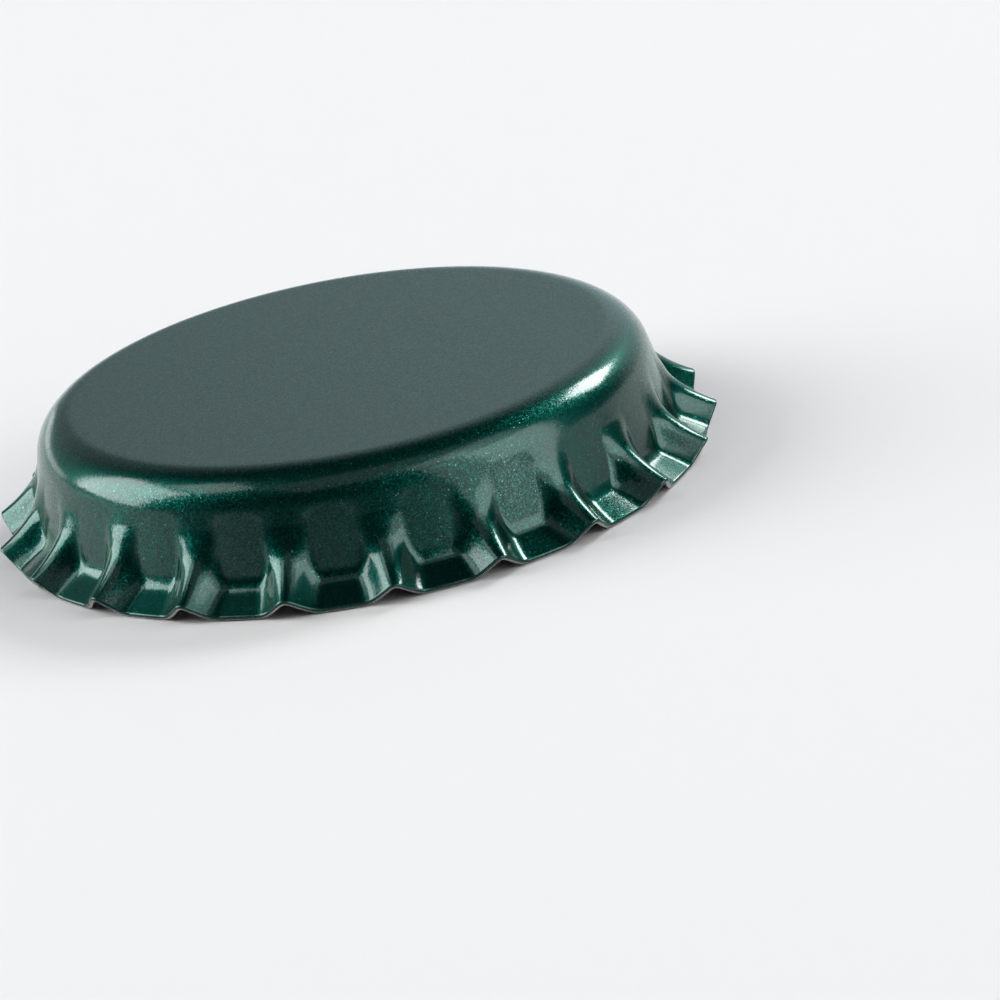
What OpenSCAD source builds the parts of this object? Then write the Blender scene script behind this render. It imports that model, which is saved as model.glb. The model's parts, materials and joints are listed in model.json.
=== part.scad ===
// Crown cap: the pry-off cap of a glass bottle. The shell is one disc of lacquered tinplate pressed
// into a flat top, a rounded shoulder and a fluted skirt; the liner is a disc of soft compound
// moulded onto the inside of the top, with a raised ring that seals on the bottle's mouth.
// Millimetres. +Z is up, the cap stands on the lips of its skirt, the origin is on the axis at the
// level of the lips and the crest of the first flute points along +X.

/* [Shell] */
// Overall diameter, over the tips of the flutes
crest_d = 32.1; // [31.7:0.1:32.6]
// Overall height, from the lips to the top
cap_h = 5.7; // [5.5:0.1:6.2]
// Inner diameter of the short straight wall under the shoulder
neck_d = 26.75; // [26.4:0.05:27]
// Thickness of the sheet
sheet_t = 0.235; // [0.2:0.005:0.26]
// Outer radius of the shoulder, between the top and the wall
shoulder_r = 1.82; // [1.6:0.02:2]
// Height of the straight wall under the shoulder
band_h = 0.6; // [0.4:0.05:0.8]

/* [Flutes] */
// Number of flutes round the skirt
flutes = 21; // [20:1:22]
// Slope of the wall between two flutes, degrees from upright
wall_slope = 9.5; // [7:0.5:12]
// Height above the lips at which a flute leaves the wall
root_z = 2.7; // [2.4:0.1:2.9]
// How softly the crest line leaves the wall
root_soft = 0.75; // [0.3:0.05:0.9]
// Height of the flute tips above the lips
tip_rise = 0.74; // [0.6:0.02:0.9]
// Hollow of the crest line between its root and its tip
crest_sag = 0.17; // [0.05:0.01:0.25]
// Width of a flute where it fades into the wall
root_w = 2; // [1.6:0.1:2.4]
// Width of the round on either side of the crest, at its root
root_fold = 0.6; // [0.3:0.05:0.7]
// Width of the round on either side of the crest, at its tip
tip_fold = 0.26; // [0.14:0.02:0.3]
// Width of the round at a flute's foot, at its root
root_foot = 0.1; // [0.1:0.05:0.3]

/* [Lips] */
// Height above the lips' ends of the crease between the wall and a lip
crease_z = 0.92; // [0.8:0.02:1.1]
// Length of the bend between the wall and a lip
crease_w = 0.8; // [0.4:0.1:1]
// How far the lips' ends stay inside the circle of the flute tips
lip_inset = 0.55; // [0.4:0.05:0.7]
// Width of a lip's straight end
lip_w = 2.35; // [2:0.05:2.6]
// Width of the round between a lip and the flute beside it, at the crease
crease_foot = 1; // [0.6:0.1:1.4]
// Width of the same round at the lip's end
lip_foot = 0.7; // [0.4:0.1:0.9]

/* [Liner] */
// Diameter of the liner
liner_d = 24.4; // [24:0.1:24.6]
// Thickness of the liner's disc
liner_t = 0.25; // [0.2:0.05:0.35]
// Diameter over the crest of the sealing ridge
ridge_d = 18.9; // [18.4:0.1:19.4]
// Height of the sealing ridge, from the top panel
ridge_h = 0.85; // [0.8:0.05:1]
// Width of the ridge's hollow inner slope
ridge_in = 1.1; // [0.8:0.1:1.4]
// Width of the ridge's outer slope
ridge_out = 0.95; // [0.8:0.05:1.1]
// Depth of the groove's floor, from the top panel
groove_h = 0.35; // [0.3:0.05:0.45]
// Width of the flat outer bead, on which the bottle's mouth presses
bead_w = 0.9; // [0.6:0.1:1]
// Width of the slope from the groove up to the bead
bead_slope = 0.36; // [0.3:0.02:0.5]
// Height of the outer bead, from the top panel
bead_h = 0.75; // [0.6:0.05:0.8]
// Gap between the liner's outer edge and the inside of the shoulder
edge_gap = 0.01; // [0.01:0.01:0.05]

/* [Hidden] */
$fn = 180;
half_t = sheet_t / 2;
pitch = 360 / flutes;
// Radius and height of the wall's middle surface at the foot of the straight band
band_r = neck_d / 2 + half_t;
band_z = cap_h - shoulder_r - band_h;
panel_z = cap_h - sheet_t;
flat_r = neck_d / 2 + sheet_t - shoulder_r;

// The skirt's middle surface is drawn in axes turned by 45 degrees about the band's foot:
// u runs outward and down along the skirt, w outward and up across it.
function u_of(r, z) = ((r - band_r) - (z - band_z)) / sqrt(2);
function w_of(r, z) = ((r - band_r) + (z - band_z)) / sqrt(2);
function r_of(u, w) = band_r + (u + w) / sqrt(2);
function z_of(u, w) = band_z + (w - u) / sqrt(2);

// Maximum of two values, blended over about k; x held between 0 and 1; and a line that is level
// before at and rises one for one after it, with the turn spread over width
function blend(a, b, k) = (a + b + sqrt((a - b) * (a - b) + k * k)) / 2;
function share(x) = min(max(x, 0), 1);
function bend(x, at, width) =
  width / 2 * pow(share((x - at) / width + 0.5), 2) + max(x - at - width / 2, 0);

// Ends of the crest line and of a lip, on the middle surface, and the crease between wall and lip.
// The sheet is cut square to itself, at this slope.
cut_slope = 30;
tip_r = crest_d / 2 - half_t * sin(cut_slope);
tip_z = half_t * cos(cut_slope) + tip_rise;
lip_r = tip_r - lip_inset;
lip_z = half_t * cos(cut_slope);
crease_r = band_r + (band_z - crease_z) * tan(wall_slope);
root_r = band_r + (band_z - root_z) * tan(wall_slope);

tip_u = u_of(tip_r, tip_z);
tip_w = w_of(tip_r, tip_z);
lip_u = u_of(lip_r, lip_z);
lip_end = w_of(lip_r, lip_z);
crease_u = u_of(crease_r, crease_z);
root_u = u_of(root_r, root_z);

// Fall of the wall's line and of a lip's line in these axes, and the trough that the straight
// band, the wall and the lip make together; band_bend is the length of the bend at the band's foot
band_bend = 0.1;
wall_fall = -tan(45 - wall_slope);
lip_fall = (lip_end - wall_fall * crease_u) / (lip_u - crease_u);
function trough(u) =
  -u + (1 + wall_fall) * bend(u, 0, band_bend) + (lip_fall - wall_fall) * bend(u, crease_u, crease_w);

// The crest line, hollow between its root on the wall and its tip
root_end = wall_fall * root_u;
function crest(u) =
  let (s = (u - root_u) / (tip_u - root_u))
  root_end + s * (tip_w - root_end) - 4 * crest_sag * s * (1 - s);

// How far a flute's crest stands over the trough. The flutes fade in over fade_w, below the
// straight band.
fade_u = 0.1;
fade_w = 0.7;
soft_end = 1.4;
function stand(u) =
  blend(crest(u) - trough(u), 0, root_soft * (1 - pow(share(u / soft_end), 2)))
  * share((u - fade_u) / fade_w);

// Half of a flute's width at its foot, and the widths of the rounds at its crest and its foot. The
// foot's round is widest at the crease.
foot_blend = 0.1;
foot_from = 0.9;
corner_t = lip_r * PI / flutes - lip_w / 2;
flank = (crest(lip_u) - lip_end) / (corner_t - tip_fold / 2);
function fold(u) = root_fold + (tip_fold - root_fold) * share(u / tip_u);
function foot(u) = blend(stand(u) / flank + fold(u) / 2, root_w / 2, foot_blend);
function foot_fold(u) =
  root_foot + (crease_foot - root_foot) * share((u - foot_from) / (crease_u - foot_from))
  + (lip_foot - crease_foot) * share((u - crease_u) / (lip_u - crease_u));

// Cross-section of a flute at arc distance t from its crest: 1 on the crest, 0 beyond the foot,
// a straight flank between the two rounds
function section(t, u) =
  let (drop = bend(t, fold(u) / 2, fold(u)) - bend(t, foot(u), foot_fold(u)))
  1 - drop / (foot(u) - fold(u) / 2);

// Point of the middle surface, a degrees from the flute's crest
function arc_r(u) = band_r + u / sqrt(2);
function mid(u, a) =
  let (
    w = trough(u) + stand(u) * section(abs(arc_r(u) * a * PI / 180), u),
    r = r_of(u, w)
  )
  [r * cos(a), r * sin(a), z_of(u, w)];

// Point off the middle surface by d, outward. The surface's lean is taken over a short step.
step_u = 0.01;
step_a = 0.05;
function skin(u, a, d) =
  let (
    along = mid(u + step_u, a) - mid(u - step_u, a),
    round = mid(u, a + step_a) - mid(u, a - step_a),
    n = cross(along, round)
  )
  mid(u, a) + n * d / norm(n);

// Columns of one flute: they follow the rounds of its crest and its foot, and stay clear of the
// mid-pitch and of each other. A skirt of many flutes has one column fewer on each side of a crest.
many_flutes = 22;
half_columns = flutes > many_flutes ? 5 : 6;
columns = 2 * half_columns;
pitch_clear = 0.1;
side_clear = 0.05;
function column_t(u) =
  let (
    half_pitch = arc_r(u) * PI / flutes,
    high = min(foot(u) + foot_fold(u) / 2, half_pitch - pitch_clear),
    low = min(foot(u) - foot_fold(u) / 2, high - side_clear),
    t = [0, fold(u) / 2, fold(u), low, (low + high) / 2, high, half_pitch]
  )
  half_columns == 6 ? t : [for (k = [0, 2, 3, 4, 5, 6]) t[k]];

// Angle of column c, from 0 at a mid-pitch over half_columns at the crest to the next mid-pitch
function angle_of(c, u) =
  sign(c - half_columns) * column_t(u)[abs(c - half_columns)] / arc_r(u) * 180 / PI;

// Rows down the skirt. The first starts inside the straight band's sheet and the second wraps its
// foot, so that the skirt comes out through both faces of the band; the last is the cut edge.
crease_in = crease_u - crease_w / 2;
crease_out = crease_u + crease_w / 2;
rows = [
  for (s = [0.12, 0.33, 0.56, 0.8]) s * crease_in,
  for (s = [0:3]) crease_in + s / 3 * crease_w,
  (crease_out + lip_u) / 2
];
wrap = 0.02;
start_z = band_z + 0.6 * band_h;
row_count = len(rows) + 3;
function edge_u(a) =
  lip_u - (lip_u - tip_u) * max(1 - abs(arc_r(lip_u) * a * PI / 180) / corner_t, 0);
function band_row(c, z, side, off) =
  let (a = angle_of(c, 0), r = band_r + side * (half_t + off))
  [r * cos(a), r * sin(a), z];
function row_point(c, j, side) =
  j == 0 ? band_row(c, start_z, side, -wrap) :
  j == 1 ? band_row(c, band_z - wrap, side, wrap) :
  j < row_count - 1 ? skin(rows[j - 2], angle_of(c, rows[j - 2]), side * half_t) :
  let (a = angle_of(c, lip_u))
  skin(edge_u(a), a, side * half_t);

function turned(p, a) = [p[0] * cos(a) - p[1] * sin(a), p[0] * sin(a) + p[1] * cos(a), p[2]];

// All the points of the skirt: flute by flute, column by column, row by row, outer then inner
one_flute = [
  for (c = [0:columns - 1], j = [0:row_count - 1], side = [1, -1])
    row_point(c, j, side)
];
skirt_points = [for (k = [0:flutes - 1], p = one_flute) turned(p, k * pitch)];
ring = columns * flutes;
function at(i, j, side) = ((i % ring) * row_count + j) * 2 + side;

// Two triangles for the patch with the corners a, b, c, d; swap chooses the other diagonal
function pair(a, b, c, d, swap) = swap ? [[a, b, d], [b, c, d]] : [[a, b, c], [a, c, d]];
function before_crest(i) = i % columns < half_columns;
skirt_faces = [
  for (i = [0:ring - 1], j = [0:row_count - 2], f = concat(
    pair(at(i, j, 0), at(i + 1, j, 0), at(i + 1, j + 1, 0), at(i, j + 1, 0), before_crest(i)),
    pair(at(i + 1, j, 1), at(i, j, 1), at(i, j + 1, 1), at(i + 1, j + 1, 1), !before_crest(i))
  )) f,
  for (i = [0:ring - 1], f = concat(
    pair(at(i, 0, 1), at(i + 1, 0, 1), at(i + 1, 0, 0), at(i, 0, 0), false),
    pair(
      at(i, row_count - 1, 0), at(i + 1, row_count - 1, 0),
      at(i + 1, row_count - 1, 1), at(i, row_count - 1, 1), false
    )
  )) f
];

module skirt() {
  polyhedron(points = skirt_points, faces = skirt_faces, convexity = 12);
}

// Half of the cup's cross-section out to r, with its outline moved inward by t
module cup_outline(t) {
  square([flat_r, cap_h - t]);
  square([neck_d / 2 + sheet_t - t, cap_h - shoulder_r]);
  translate([flat_r, cap_h - shoulder_r])
    circle(r = shoulder_r - t);
}

// Top, shoulder and straight band
module cup() {
  rotate_extrude()
    intersection() {
      difference() {
        cup_outline(0);
        cup_outline(sheet_t);
      }
      translate([0, band_z])
        square([crest_d, cap_h]);
    }
}

// The pressed and fluted metal shell
module crown_shell() {
  color([0.05, 0.3, 0.26]) {
    cup();
    skirt();
  }
}

// The sealing disc inside the top. Its outline runs from the axis outward: the disc, the ridge with
// a hollow inner slope and a small step at the foot of its outer one, the groove, the bead.
module liner() {
  liner_r = liner_d / 2;
  ridge_r = ridge_d / 2;
  bead_r = liner_r - bead_w;
  crest_w = 0.1;
  round_w = 0.05;
  step_h = 0.09;
  rest_z = band_z + band_h + sqrt(pow(shoulder_r - sheet_t, 2) - pow(liner_r - flat_r, 2));
  hollow = [
    for (s = [0:0.2:0.8])
      [ridge_r - ridge_in * (1 - s), -liner_t - (ridge_h - liner_t) * s * s]
  ];
  color([0.62, 0.64, 0.66])
    translate([0, 0, panel_z])
      rotate_extrude()
        polygon([
          [0, 0],
          [0, -liner_t],
          each hollow,
          [ridge_r - crest_w, round_w - ridge_h],
          [ridge_r, -ridge_h],
          [ridge_r + crest_w, round_w - ridge_h],
          [ridge_r + ridge_out - round_w, -groove_h - step_h],
          [ridge_r + ridge_out, -groove_h],
          [bead_r - bead_slope, -groove_h],
          [bead_r - round_w, round_w - bead_h],
          [bead_r, -bead_h],
          [liner_r - round_w, -bead_h],
          [liner_r, round_w - bead_h],
          [liner_r, rest_z - edge_gap - panel_z],
          [flat_r, 0]
        ]);
}

crown_shell();
liner();
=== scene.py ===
"""Crown cap: the lacquered tinplate shell and its liner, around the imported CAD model.

The geometry is written in millimetres and turned into metres when a mesh is made.
"""
import json
import math

import bpy
import numpy as np
from mathutils import Matrix, Vector

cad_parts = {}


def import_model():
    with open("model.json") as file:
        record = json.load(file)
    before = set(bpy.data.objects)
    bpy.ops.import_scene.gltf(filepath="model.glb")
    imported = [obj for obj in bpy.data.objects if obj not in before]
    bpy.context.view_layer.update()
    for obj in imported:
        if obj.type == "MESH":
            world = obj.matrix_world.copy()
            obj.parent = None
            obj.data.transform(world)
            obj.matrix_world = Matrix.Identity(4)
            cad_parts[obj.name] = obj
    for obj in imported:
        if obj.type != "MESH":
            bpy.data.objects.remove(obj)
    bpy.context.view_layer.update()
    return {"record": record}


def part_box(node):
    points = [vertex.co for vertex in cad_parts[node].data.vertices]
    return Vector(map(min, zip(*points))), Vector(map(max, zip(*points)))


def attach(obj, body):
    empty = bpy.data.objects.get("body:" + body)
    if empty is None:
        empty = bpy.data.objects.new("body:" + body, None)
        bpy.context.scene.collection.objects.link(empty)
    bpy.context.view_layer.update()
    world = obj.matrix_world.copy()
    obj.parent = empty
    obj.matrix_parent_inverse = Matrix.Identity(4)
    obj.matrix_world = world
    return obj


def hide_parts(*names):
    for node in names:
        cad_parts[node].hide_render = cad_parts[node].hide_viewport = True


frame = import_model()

MM = 0.001

# ---------------------------------------------------------------- sizes, from the frame
shell_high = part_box("crown_shell")[1]
liner_low, liner_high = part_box("liner")
mounts = {m["name"]: m for m in frame["record"]["mounts"]}

CAP_H = shell_high[2] / MM
CREST_R = shell_high[0] / MM
NECK_R = mounts["bottle_neck"]["dims"]["r_mm"]
PANEL_Z = liner_high[2] / MM
SHEET_T = CAP_H - PANEL_Z
HALF_T = SHEET_T / 2
LINER_R = liner_high[0] / MM
BEAD_H = PANEL_Z - mounts["sealing_face"]["pos_m"][2] / MM
RIDGE_H = PANEL_Z - liner_low[2] / MM

# ---------------------------------------------------------------- the shell's driving sizes
# They have the names of the CAD source where it has them. Some differ a little from it, because
# they follow the photograph more closely, inside the CAD model's box.
FLUTES = 21
SHOULDER_R = 1.82
# The CAD model's straight band; its foot is where the skirt's axes start
BAND_H = 0.6
WALL_SLOPE = math.radians(10.5)
# Where a flute's crest leaves the wall, and how softly: the rounding there starts at a share of
# its width, is whole at the next distance along the skirt and has ended at the last
ROOT_Z = 3.0
ROOT_SOFT = 0.42
SOFT_SHARE = 0.6
SOFT_WHOLE = 0.6
SOFT_END = 1.4
# How far a flute's tip stands above the lips, and how far its crest sags between root and tip
TIP_RISE = 0.74
CREST_SAG = 0.19
# A flute's width at its root, and the rounds at its crest and its feet
ROOT_W = 2.0
ROOT_FOLD = 1.0
TIP_FOLD = 0.26
ROOT_FOOT = 0.3
FOOT_FROM = 1.0
CREASE_FOOT = 0.9
LIP_FOOT = 0.8
FOOT_BLEND = 0.1
# How much steeper the flanks are above the crease
STEEPER = 0.22
# The crease where the lip bends out of the wall, and the lip
CREASE_Z = 1.0
CREASE_W = 0.8
LIP_INSET = 0.55
LIP_W = 2.35
# Where the tongues pressed between the flutes close on the shoulder, and the level top that a
# flute keeps between them
TONGUE_TOP = 4.25
TONGUE_START = 0.5
TOP_FOLD = 0.2
ROOT_LEVEL = 0.1
LEVEL_END = 1.6
# About how steeply the sheet slopes at its cut edge
EDGE_SLOPE = math.radians(30)

PITCH = 2 * math.pi / FLUTES
BAND_R = NECK_R + HALF_T
BAND_Z = CAP_H - SHOULDER_R - BAND_H
FLAT_R = NECK_R + SHEET_T - SHOULDER_R
BEND_R = SHOULDER_R - HALF_T
SQRT2 = math.sqrt(2)


# ---------------------------------------------------------------- the skirt's middle surface
# As in the CAD source it is drawn in axes turned by 45 degrees about the foot of the straight
# band: u runs outward and down along the skirt, w outward and up across it.
def u_of(r, z):
    return ((r - BAND_R) - (z - BAND_Z)) / SQRT2


def w_of(r, z):
    return ((r - BAND_R) + (z - BAND_Z)) / SQRT2


def blend(a, b, k):
    """The larger of a and b, rounded over about k."""
    return (a + b + np.sqrt((a - b) ** 2 + k * k)) / 2


def share(x):
    return np.clip(x, 0, 1)


def bend(x, at, width):
    """Nought before at and rising by one for one after it, with the turn spread over width."""
    turned = share((x - at) / width + 0.5)
    return width / 2 * turned ** 2 + np.maximum(x - at - width / 2, 0)


def wall_radius(z):
    """Radius of the sloping wall, which leaves the shoulder's round in line with it."""
    below = CAP_H - SHOULDER_R + BEND_R * math.sin(WALL_SLOPE) - z
    return FLAT_R + BEND_R * math.cos(WALL_SLOPE) + below * math.tan(WALL_SLOPE)


TIP_R = CREST_R - HALF_T * math.sin(EDGE_SLOPE)
TIP_Z = HALF_T * math.cos(EDGE_SLOPE) + TIP_RISE
LIP_R = TIP_R - LIP_INSET
LIP_Z = HALF_T * math.cos(EDGE_SLOPE)
TIP_U = u_of(TIP_R, TIP_Z)
TIP_W = w_of(TIP_R, TIP_Z)
LIP_U = u_of(LIP_R, LIP_Z)
LIP_END = w_of(LIP_R, LIP_Z)
CREASE_U = u_of(wall_radius(CREASE_Z), CREASE_Z)
ROOT_U = u_of(wall_radius(ROOT_Z), ROOT_Z)
ROOT_END = w_of(wall_radius(ROOT_Z), ROOT_Z)
WALL_FALL = -math.tan(math.pi / 4 - WALL_SLOPE)
WALL_TOP = ROOT_END - WALL_FALL * ROOT_U
WALL_TOP_Z = BAND_Z + WALL_TOP / SQRT2
CREASE_END = WALL_TOP + WALL_FALL * CREASE_U
LIP_FALL = (LIP_END - CREASE_END) / (LIP_U - CREASE_U)


def trough(u):
    """The sloping wall and the lip that is bent out of its foot."""
    return WALL_TOP + WALL_FALL * u + (LIP_FALL - WALL_FALL) * bend(u, CREASE_U, CREASE_W)


def crest(u):
    """The line of a flute's crest, hollow between its root on the wall and its tip."""
    s = (u - ROOT_U) / (TIP_U - ROOT_U)
    return ROOT_END + s * (TIP_W - ROOT_END) - 4 * CREST_SAG * s * (1 - s)


# Arc from a flute's crest to the corner of the lip beside it, and the slope of the flank there
CORNER_T = LIP_R * math.pi / FLUTES - LIP_W / 2
FLANK = (crest(LIP_U) - LIP_END) / (CORNER_T - TIP_FOLD / 2)


def stand(u):
    """How far a flute's crest stands over the trough."""
    fading = ROOT_SOFT * (1 - share(u / SOFT_END) ** 2)
    growing = SOFT_SHARE + (1 - SOFT_SHARE) * share(u / SOFT_WHOLE)
    return blend(crest(u) - trough(u), 0, fading * growing)


def fold(u):
    """Width of the round at a flute's crest."""
    return ROOT_FOLD + (TIP_FOLD - ROOT_FOLD) * share(u / TIP_U)


def on_lip(u):
    """Nought down to the crease and rising to one at the lip's edge."""
    return share((u - CREASE_U) / (LIP_U - CREASE_U))


def foot(u):
    """Half the width of a flute, along the arc."""
    flank = FLANK * (1 + STEEPER * (1 - on_lip(u)))
    return blend(stand(u) / flank + fold(u) / 2, ROOT_W / 2, FOOT_BLEND)


def foot_fold(u):
    """Width of the round at a flute's foot: widest at the crease, where trough and flanks meet."""
    to_crease = share((u - FOOT_FROM) / (CREASE_U - FOOT_FROM))
    wider = (CREASE_FOOT - ROOT_FOOT) * to_crease
    return ROOT_FOOT + wider + (LIP_FOOT - CREASE_FOOT) * on_lip(u)


def level(u):
    """Half the width of a flute's level top."""
    return ROOT_LEVEL * (1 - share(u / LEVEL_END)) ** 2


def section(t, level_t, fold_w, foot_t, foot_w):
    """Height of a flute's cross section at arc distance t, as a share of its crest's height."""
    t = np.abs(t)
    start = level_t + fold_w / 2
    return 1 - (bend(t, start, fold_w) - bend(t, foot_t, foot_w)) / (foot_t - start)


def cross_sizes(u):
    return level(u), fold(u), foot(u), foot_fold(u)


def arc_radius(u):
    return BAND_R + u / SQRT2


def edge_u(a):
    """Where the sheet is cut, along u, a radians from a flute's crest."""
    t = np.abs(arc_radius(LIP_U) * a)
    return LIP_U - (LIP_U - TIP_U) * np.maximum(1 - t / CORNER_T, 0)


def up_tongue(z):
    """Nought at the top of the skirt and rising to one where the tongues close."""
    return share((z - WALL_TOP_Z) / (TONGUE_TOP - WALL_TOP_Z))


def upper_stand(z):
    """How far the sheet over a flute stands out between the tongues, above the skirt."""
    whole = bend(TONGUE_TOP - WALL_TOP_Z, 0, TONGUE_START)
    return stand(0.0) * bend(TONGUE_TOP - z, 0, TONGUE_START) / whole


def upper_foot(z):
    """Half the width between two tongues, above the skirt: they close like arches."""
    return foot(0.0) + (BAND_R * math.pi / FLUTES - foot(0.0)) * up_tongue(z) ** 3


def upper_fold(z):
    """Width of the round at a tongue's sides, above the skirt."""
    return ROOT_FOOT + TOP_FOLD * up_tongue(z)


# ---------------------------------------------------------------- the shell's mesh
HALF_COLUMNS = 22
FOLD_STEPS = np.linspace(0, 1, 6)
FLANK_STEPS = np.linspace(0, 1, 5)[1:]
FOOT_STEPS = np.linspace(0, 1, 6)[1:]
# The least arc that a trough, a foot's round and a flank keep
TROUGH_LEAST = 0.1
ROUND_LEAST = 0.05
FLANK_LEAST = 0.1
PANEL_RADII = (0.02, 3.0, 6.0, 9.0, 10.8, 11.5)
SHOULDER_ROWS = 20
WALL_ROWS = 8
# Rows down the skirt, closest round the crease
CREASE_ROWS_FROM = 1.55
CREASE_ROWS_TO = 2.35
LAST_ROW = 3.25
SKIRT_U = np.concatenate([
    np.linspace(0, CREASE_ROWS_FROM, 16)[:-1],
    np.linspace(CREASE_ROWS_FROM, CREASE_ROWS_TO, 11)[:-1],
    np.linspace(CREASE_ROWS_TO, LAST_ROW, 6),
])
# The last rows lie this far back from the cut edge
EDGE_BACK = (0.12, 0.07, 0)
# The cut edge's section, as distance back from the edge and height over the middle surface: the
# lacquered face rolls over it, and the break leans back under it
RIM = (
    (0.03, HALF_T - 0.016),
    (0.004, HALF_T - 0.06),
    (0, 0.0),
    (0.02, 0.04 - HALF_T),
    (0.04, -HALF_T),
)
LACQUERED_RIM_ROWS = 2
# Order of the shell's materials
LACQUER, STEEL, TINPLATE = 0, 1, 2


def column_angles(radius, level_t, fold_w, foot_t, foot_w):
    """Angles from the crest of one flute's columns, crowded at its crest and feet."""
    half_pitch = radius * math.pi / FLUTES
    high = min(foot_t + foot_w / 2, half_pitch - TROUGH_LEAST)
    low = min(foot_t - foot_w / 2, high - ROUND_LEAST)
    top_t = min(level_t + fold_w, low - FLANK_LEAST)
    top = FOLD_STEPS * top_t
    side = top_t + (low - top_t) * FLANK_STEPS
    bottom = low + (high - low) * FOOT_STEPS
    left = HALF_COLUMNS + 1 - len(top) - len(side) - len(bottom)
    trough_part = high + (half_pitch - high) * np.linspace(0, 1, left + 1)[1:]
    half = np.concatenate([top, side, bottom, trough_part]) / radius
    return np.concatenate([-half[:0:-1], half[:-1]])


def all_columns(radius, sizes):
    return np.tile(column_angles(radius, *sizes), FLUTES)


def cup_rows():
    """(radius, height) of the middle surface from the top's centre down to the skirt."""
    rows = [(r, CAP_H - HALF_T) for r in PANEL_RADII]
    for turn in np.linspace(0, math.pi / 2 - WALL_SLOPE, SHOULDER_ROWS):
        rows.append((
            FLAT_R + BEND_R * math.sin(turn),
            CAP_H - SHOULDER_R + BEND_R * math.cos(turn),
        ))
    heights = np.linspace(rows[-1][1], WALL_TOP_Z, WALL_ROWS + 2)[1:-1]
    return rows + [(wall_radius(z), z) for z in heights]


def middle_grid():
    """Points of the middle surface, [row, column, xyz], from the top's centre to the cut edge."""
    rows = []
    turns = np.repeat(np.arange(FLUTES) * PITCH, 2 * HALF_COLUMNS)

    def ring(r, z, a):
        rows.append(np.stack([r * np.cos(a + turns), r * np.sin(a + turns), z + 0 * a], -1))

    def skirt_ring(u, a, radius):
        w = trough(u) + stand(u) * section(radius * a, *cross_sizes(u))
        ring(BAND_R + (u + w) / SQRT2, BAND_Z + (w - u) / SQRT2, a)

    for r, z in cup_rows():
        sizes = level(0.0), fold(0.0), upper_foot(z), upper_fold(z)
        a = all_columns(BAND_R, sizes)
        out = upper_stand(z) * section(BAND_R * a, *sizes) / SQRT2
        ring(r + out, z + out, a)
    for u in SKIRT_U:
        skirt_ring(u, all_columns(arc_radius(u), cross_sizes(u)), arc_radius(u))
    a = all_columns(arc_radius(LIP_U), cross_sizes(LIP_U))
    for back in EDGE_BACK:
        skirt_ring(edge_u(a) - back, a, arc_radius(LIP_U))
    return np.array(rows)


def normals_of(grid):
    along = np.gradient(grid, axis=0)
    around = np.roll(grid, -1, axis=1) - np.roll(grid, 1, axis=1)
    n = np.cross(along, around)
    return n / np.linalg.norm(n, axis=2, keepdims=True)


def ring_faces(rows, columns):
    """Quads between neighbouring rings of points, row by row."""
    faces = []
    for j in range(rows - 1):
        here = j * columns
        there = here + columns
        for i in range(columns):
            k = (i + 1) % columns
            faces.append((here + i, there + i, there + k, here + k))
    return faces


def mesh_object(name, points, faces, groups, materials):
    """A smooth mesh in metres; groups holds each face's material index."""
    mesh = bpy.data.meshes.new(name)
    mesh.from_pydata((np.asarray(points) * MM).tolist(), [], faces)
    for material in materials:
        mesh.materials.append(material)
    mesh.polygons.foreach_set("material_index", groups)
    mesh.polygons.foreach_set("use_smooth", [True] * len(faces))
    mesh.update()
    made = bpy.data.objects.new(name, mesh)
    bpy.context.scene.collection.objects.link(made)
    return made


def shell_object(materials):
    grid = middle_grid()
    normal = normals_of(grid)
    outer = (grid + normal * HALF_T)[:-1]
    inner = (grid - normal * HALF_T)[::-1][1:]
    # The inside needs only every second row
    inner = inner[sorted({*range(0, len(inner), 2), len(inner) - 1})]
    edge = grid[-1]
    along = (edge - grid[-2]) / np.linalg.norm(edge - grid[-2], axis=1, keepdims=True)
    rim = np.array([edge - along * back + normal[-1] * out for back, out in RIM])
    rows = np.concatenate([outer, rim, inner])
    count, columns = rows.shape[:2]
    rolled = len(outer) + LACQUERED_RIM_ROWS
    broken = len(outer) + len(rim) - 1
    faces = ring_faces(count, columns)
    groups = []
    for j in range(count - 1):
        group = LACQUER if j < rolled else STEEL if j < broken else TINPLATE
        groups += [group] * columns
    faces.append(tuple(range(columns)))
    groups.append(LACQUER)
    faces.append(tuple(range((count - 1) * columns, count * columns))[::-1])
    groups.append(TINPLATE)
    return mesh_object("crown_shell_skin", rows.reshape(-1, 3), faces, groups, materials)


# ---------------------------------------------------------------- the liner's mesh
LINER_SIDES = 256
DISC_H = 0.25
GROOVE_H = 0.35
BEAD_W = 0.9
RIDGE_R = 9.45
DISC_RADII = (0.02, 4.0, 7.6, 8.1)
# The ridge's concave inner foot: its start, its width and rise, and how far it turns
RIDGE_FOOT_R = 8.35
RIDGE_FOOT_H = DISC_H + 0.01
RIDGE_FOOT_W = 0.62
RIDGE_FOOT_RISE = 0.22
RIDGE_FOOT_TURN = 1.2
# Its steep inner side stands out this far above the disc, at this distance inside the ridge
RIDGE_SIDE = (-0.37, 0.36)
# Distance outside the ridge, and depth short of the ridge's own
RIDGE_TOP = (
    (-0.23, 0.12), (-0.13, 0.035), (-0.05, 0.006), (0, 0),
    (0.05, 0.006), (0.11, 0.03), (0.35, 0.14),
)
# Distance outside the ridge, and depth beyond the groove's
GROOVE = (
    (0.65, 0.22), (0.85, 0.11), (0.91, 0.06), (0.94, 0.01),
    (0.98, 0), (1.15, -0.005), (1.33, 0),
)
# The slope up to the bead: distance inside it, and depth beyond the groove's or short of its own
BEAD_FOOT = ((0.4, 0.03), (0.3, 0.1))
BEAD_SIDE = ((0.14, 0.1), (0.06, 0.025), (0, 0), (-0.1, 0))
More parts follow.
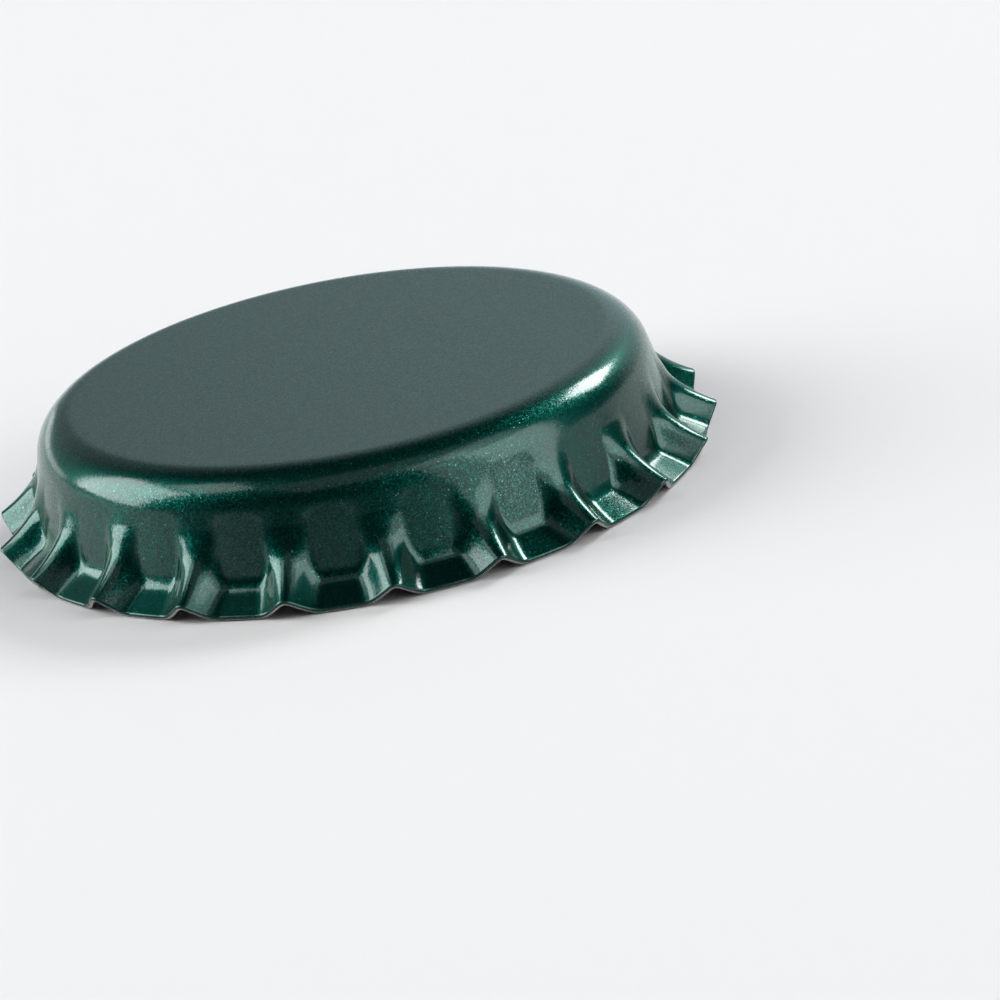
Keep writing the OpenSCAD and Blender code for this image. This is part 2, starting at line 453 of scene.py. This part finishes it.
# Distance inside the liner's edge, and depth short of the bead's, round the bead's corner
BEAD_CORNER = ((0.12, 0), (0.05, 0.012), (0.012, 0.05), (0, 0.12))
LINER_EDGE_H = 0.08


def liner_profile():
    """(radius, depth under the panel) of the liner's face, from the axis outward."""
    points = [(r, DISC_H) for r in DISC_RADII]
    points.append((RIDGE_FOOT_R, RIDGE_FOOT_H))
    for q in np.linspace(0.15, 1, 8) * RIDGE_FOOT_TURN:
        points.append((
            RIDGE_FOOT_R + RIDGE_FOOT_W * math.sin(q) / math.sin(RIDGE_FOOT_TURN),
            RIDGE_FOOT_H + RIDGE_FOOT_RISE * (1 - math.cos(q)) / (1 - math.cos(RIDGE_FOOT_TURN)),
        ))
    points.append((RIDGE_R + RIDGE_SIDE[0], DISC_H + RIDGE_SIDE[1]))
    points += [(RIDGE_R + out, RIDGE_H - short) for out, short in RIDGE_TOP]
    points += [(RIDGE_R + out, GROOVE_H + beyond) for out, beyond in GROOVE]
    bead_r = LINER_R - BEAD_W
    points += [(bead_r - inside, GROOVE_H + beyond) for inside, beyond in BEAD_FOOT]
    points += [(bead_r - inside, BEAD_H - short) for inside, short in BEAD_SIDE]
    points += [(LINER_R - inside, BEAD_H - short) for inside, short in BEAD_CORNER]
    points += [(LINER_R, LINER_EDGE_H), (FLAT_R, 0.0)]
    return points


def liner_object(materials):
    turn = np.arange(LINER_SIDES) * 2 * math.pi / LINER_SIDES
    rows = np.array([
        np.stack([r * np.cos(turn), r * np.sin(turn), np.full(LINER_SIDES, PANEL_Z - h)], -1)
        for r, h in liner_profile()
    ])
    count = len(rows)
    # The face looks down, so the quads turn the other way
    faces = [(f[0], *f[:0:-1]) for f in ring_faces(count, LINER_SIDES)]
    faces.append(tuple(range(LINER_SIDES))[::-1])
    faces.append(tuple(range((count - 1) * LINER_SIDES, count * LINER_SIDES)))
    return mesh_object("liner_skin", rows.reshape(-1, 3), faces, [0] * len(faces), materials)


# ---------------------------------------------------------------- nodes
def new_material(name):
    material = bpy.data.materials.new(name)
    material.use_nodes = True
    tree = material.node_tree
    shader = tree.nodes["Principled BSDF"]
    return material, tree, shader


def add(tree, kind, **values):
    """A node, with its inputs or its settings set by name."""
    node = tree.nodes.new(kind)
    for key, value in values.items():
        if key in node.inputs:
            node.inputs[key].default_value = value
        else:
            setattr(node, key, value)
    return node


def noise(tree, scale, detail):
    place = add(tree, "ShaderNodeTexCoord")
    made = add(tree, "ShaderNodeTexNoise", Scale=scale, Detail=detail)
    tree.links.new(place.outputs["Object"], made.inputs["Vector"])
    return made.outputs["Fac"]


def grey(tone):
    return (tone, tone, tone)


def ramp(tree, source, *stops):
    """The colour at each place of source, between stops of a place and a colour."""
    made = tree.nodes.new("ShaderNodeValToRGB")
    ends = made.color_ramp.elements
    while len(ends) < len(stops):
        ends.new(0.5)
    for element, (place, color) in zip(ends, stops):
        element.position = place
        element.color = (*color, 1)
    tree.links.new(source, made.inputs["Fac"])
    return made.outputs["Color"]


def bump(tree, shader, source, strength, depth):
    """Relief of the given depth in metres."""
    made = add(tree, "ShaderNodeBump", Strength=strength, Distance=depth)
    tree.links.new(source, made.inputs["Height"])
    tree.links.new(made.outputs["Normal"], shader.inputs["Normal"])


def smooth_step(tree, source, low, high, start, end):
    """Start up to low and end from high on, with a soft rise between them."""
    made = add(tree, "ShaderNodeMapRange", interpolation_type="SMOOTHSTEP")
    for name, value in (
        ("From Min", low),
        ("From Max", high),
        ("To Min", start),
        ("To Max", end),
    ):
        made.inputs[name].default_value = value
    tree.links.new(source, made.inputs["Value"])
    return made.outputs["Result"]


def math_node(tree, operation, a, b):
    made = add(tree, "ShaderNodeMath", operation=operation)
    tree.links.new(a, made.inputs[0])
    tree.links.new(b, made.inputs[1])
    return made.outputs[0]


def scaled(tree, vector, amount):
    made = add(tree, "ShaderNodeVectorMath", operation="SCALE", Scale=amount)
    tree.links.new(vector, made.inputs[0])
    return made.outputs[0]


# ---------------------------------------------------------------- materials
FLAKES_PER_METRE = 19000.0
FLAKE_TILT = 0.18
COAT_RIPPLE = 0.03


def leaning(tree, normal, lean, amount):
    """The normal, leaning by amount times lean."""
    total = add(tree, "ShaderNodeVectorMath", operation="ADD")
    tree.links.new(normal, total.inputs[0])
    tree.links.new(scaled(tree, lean, amount), total.inputs[1])
    unit = add(tree, "ShaderNodeVectorMath", operation="NORMALIZE")
    tree.links.new(total.outputs[0], unit.inputs[0])
    return unit.outputs[0]


def lacquer():
    """Deep green metal-flake lacquer under a clear coat.

    Every flake is a cell of its own tone, leaning a little its own way, so highlights glitter.
    """
    material, tree, shader = new_material("lacquer")
    place = add(tree, "ShaderNodeTexCoord")
    flakes = add(tree, "ShaderNodeTexVoronoi", Scale=FLAKES_PER_METRE)
    tree.links.new(place.outputs["Object"], flakes.inputs["Vector"])
    centred = add(tree, "ShaderNodeVectorMath", operation="SUBTRACT")
    centred.inputs[1].default_value = grey(0.5)
    tree.links.new(flakes.outputs["Color"], centred.inputs[0])
    lean = centred.outputs[0]
    normal = add(tree, "ShaderNodeNewGeometry").outputs["Normal"]
    tree.links.new(leaning(tree, normal, lean, FLAKE_TILT), shader.inputs["Normal"])
    # The clear coat follows the flakes a little
    tree.links.new(leaning(tree, normal, lean, COAT_RIPPLE), shader.inputs["Coat Normal"])
    tone = ramp(
        tree, flakes.outputs["Color"],
        (0.2, (0.0, 0.022, 0.017)),
        (0.5, (0.0, 0.037, 0.029)),
        (0.8, (0.001, 0.063, 0.049)),
        (0.92, (0.01, 0.09, 0.07)),
        (1.0, (0.12, 0.28, 0.24)),
    )
    tree.links.new(tone, shader.inputs["Base Color"])
    # Handling leaves the film a little duller in places
    rubbed = noise(tree, scale=260.0, detail=4.0)
    gloss = ramp(tree, rubbed, (0.35, grey(0.36)), (0.65, grey(0.42)))
    tree.links.new(gloss, shader.inputs["Roughness"])
    shader.inputs["Metallic"].default_value = 1.0
    shader.inputs["Specular Tint"].default_value = (0.1, 0.6, 0.5, 1)
    shader.inputs["Coat Weight"].default_value = 1.0
    shader.inputs["Coat Roughness"].default_value = 0.15
    shader.inputs["Coat IOR"].default_value = 1.4
    return material


def cut_steel():
    """The sheared edge of the sheet: bright steel with fine tear marks."""
    material, tree, shader = new_material("cut_steel")
    grain = noise(tree, scale=14000.0, detail=3.0)
    tone = ramp(tree, grain, (0.3, grey(0.3)), (0.7, grey(0.55)))
    gloss = ramp(tree, grain, (0.3, grey(0.48)), (0.7, grey(0.28)))
    tree.links.new(tone, shader.inputs["Base Color"])
    tree.links.new(gloss, shader.inputs["Roughness"])
    bump(tree, shader, grain, strength=0.4, depth=0.00001)
    shader.inputs["Metallic"].default_value = 1.0
    return material


def tinplate():
    """Bare tinplate inside the skirt: warm grey, rolled grain, dull where it was pressed."""
    material, tree, shader = new_material("tinplate")
    cloud = noise(tree, scale=420.0, detail=5.0)
    grain = noise(tree, scale=7000.0, detail=4.0)
    tone = ramp(
        tree, cloud,
        (0.3, (0.36, 0.345, 0.315)),
        (0.55, (0.46, 0.445, 0.41)),
        (0.75, (0.52, 0.5, 0.46)),
    )
    gloss = ramp(tree, cloud, (0.3, grey(0.42)), (0.7, grey(0.27)))
    tree.links.new(tone, shader.inputs["Base Color"])
    tree.links.new(gloss, shader.inputs["Roughness"])
    bump(tree, shader, grain, strength=0.25, depth=0.00001)
    shader.inputs["Metallic"].default_value = 1.0
    return material


def compound():
    """The moulded liner: light cool grey, satin, with a faint orange peel."""
    material, tree, shader = new_material("compound")
    cloud = noise(tree, scale=350.0, detail=4.0)
    peel = noise(tree, scale=2600.0, detail=2.0)
    tone = ramp(tree, cloud, (0.3, (0.38, 0.41, 0.435)), (0.7, (0.46, 0.49, 0.51)))
    gloss = ramp(tree, cloud, (0.3, grey(0.46)), (0.7, grey(0.3)))
    tree.links.new(tone, shader.inputs["Base Color"])
    tree.links.new(gloss, shader.inputs["Roughness"])
    bump(tree, shader, peel, strength=0.3, depth=0.00002)
    return material


# ---------------------------------------------------------------- stage, light and camera
# The camera is placed about the cap's axis at the height of the flutes' tips: its turn from the
# front, its angle above the floor, its roll, its distance and its lens and sensor in millimetres
CREST_PLANE = Vector((0, 0, 0.84 * MM))
VIEW_TURN = math.radians(2.05)
VIEW_TILT = math.radians(19.09)
VIEW_ROLL = math.radians(-10.98)
VIEW_FROM = 379.8 * MM
VIEW_LENS = 312.3
SENSOR = 36
# How far it is aimed to the picture's right of that point, and above it
ASIDE = (6.27 * MM, -1.405 * MM)
FLOOR_HALF = 3.0
FLOOR_TONE = (0.7, 0.7, 0.705, 1)
WORLD_TINT = (0.88, 1.0, 1.1)
LAMP_DISTANCE = 0.7


def camera():
    """A long lens at the viewing angle, rolled, aimed to the right of the cap and below it."""
    back = Vector((
        math.sin(VIEW_TURN) * math.cos(VIEW_TILT),
        -math.cos(VIEW_TURN) * math.cos(VIEW_TILT),
        math.sin(VIEW_TILT),
    ))
    sideways = Vector((math.cos(VIEW_TURN), math.sin(VIEW_TURN), 0))
    right = Matrix.Rotation(VIEW_ROLL, 3, back) @ sideways
    up = back.cross(right)
    place = CREST_PLANE + back * VIEW_FROM
    aim = CREST_PLANE + right * ASIDE[0] + up * ASIDE[1]
    away = (place - aim).normalized()
    across = up.cross(away).normalized()
    lens = bpy.data.cameras.new("camera")
    lens.lens = VIEW_LENS
    lens.sensor_width = SENSOR
    lens.clip_start = 0.01
    made = bpy.data.objects.new("camera", lens)
    turn = Matrix((across, away.cross(across), away)).transposed()
    made.matrix_world = Matrix.Translation(place) @ turn.to_4x4()
    bpy.context.scene.collection.objects.link(made)
    bpy.context.scene.camera = made


def floor():
    corners = [
        (x * FLOOR_HALF, y * FLOOR_HALF, 0)
        for x, y in ((-1, -1), (1, -1), (1, 1), (-1, 1))
    ]
    mesh = bpy.data.meshes.new("floor")
    mesh.from_pydata(corners, [], [(0, 1, 2, 3)])
    made = bpy.data.objects.new("floor", mesh)
    bpy.context.scene.collection.objects.link(made)
    material, _, shader = new_material("floor")
    shader.inputs["Base Color"].default_value = FLOOR_TONE
    shader.inputs["Roughness"].default_value = 0.9
    mesh.materials.append(material)


def world():
    """A dim studio: a pale wall behind the cap, brighter on its right, a faint glow low down all
    round it, and nearly dark elsewhere."""
    made = bpy.data.worlds.new("studio")
    made.use_nodes = True
    bpy.context.scene.world = made
    tree = made.node_tree
    light = tree.nodes["Background"]
    place = add(tree, "ShaderNodeTexCoord")
    split = add(tree, "ShaderNodeSeparateXYZ")
    tree.links.new(place.outputs["Generated"], split.inputs[0])
    side, depth, height = split.outputs
    wall = ramp(
        tree, height,
        (0.0, grey(0.5)),
        (0.15, grey(0.52)),
        (0.33, grey(0.56)),
        (0.6, grey(0.45)),
        (0.85, grey(0.22)),
        (1.0, grey(0.15)),
    )
    sideways = smooth_step(tree, side, low=-0.18, high=0.1, start=0.5, end=1.3)
    behind = smooth_step(tree, depth, low=0.4, high=0.8, start=0.0, end=1.0)
    low_down = smooth_step(tree, height, low=0.0, high=0.2, start=0.2, end=0.02)
    glow = math_node(tree, "MULTIPLY", wall, math_node(tree, "MULTIPLY", sideways, behind))
    total = math_node(tree, "ADD", glow, low_down)
    tint = add(tree, "ShaderNodeVectorMath", operation="SCALE")
    tint.inputs[0].default_value = WORLD_TINT
    tree.links.new(total, tint.inputs["Scale"])
    tree.links.new(tint.outputs[0], light.inputs["Color"])


def softbox(name, azimuth, elevation, width, height, radiance, roll=0):
    """An area lamp that faces the cap from afar, spanning width by height degrees.

    Azimuth 0 is in front of the cap and 90 on its right.
    """
    data = bpy.data.lights.new(name, "AREA")
    data.shape = "RECTANGLE"
    data.size = 2 * LAMP_DISTANCE * math.tan(math.radians(width / 2))
    data.size_y = 2 * LAMP_DISTANCE * math.tan(math.radians(height / 2))
    data.energy = radiance * math.pi * data.size * data.size_y
    a, e = math.radians(azimuth), math.radians(elevation)
    out = Vector((math.sin(a) * math.cos(e), -math.cos(a) * math.cos(e), math.sin(e)))
    facing = out.to_track_quat("Z", "Y").to_matrix().to_4x4()
    rolled = Matrix.Rotation(math.radians(roll), 4, "Z")
    made = bpy.data.objects.new(name, data)
    made.matrix_world = Matrix.Translation(out * LAMP_DISTANCE) @ facing @ rolled
    bpy.context.scene.collection.objects.link(made)


def lights():
    """Each lamp's azimuth, elevation, width, height, radiance and roll."""
    softbox("left_box", -100, 25.5, 37, 40, 7.5, -5)
    softbox("left_high", -79, 55, 24, 17, 3.0, -20)
    softbox("low_box", -146, 5, 36, 7, 1.6)
    softbox("right_box", 65, 20, 32, 42, 4.0)
    softbox("right_high", 62, 49, 26, 15, 1.5)
    softbox("right_soft", 39, 28, 20, 50, 1.6)
    softbox("back_box", 128.5, 35, 19, 16, 20.0)
    softbox("top_box", 15, 60, 60, 32, 0.4)


# ---------------------------------------------------------------- build
shell = shell_object([lacquer(), cut_steel(), tinplate()])
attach(shell, "root")
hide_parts("crown_shell")

seal = liner_object([compound()])
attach(seal, "root")
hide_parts("liner")

floor()
world()
lights()
camera()

view = bpy.context.scene.view_settings
view.view_transform = "Standard"
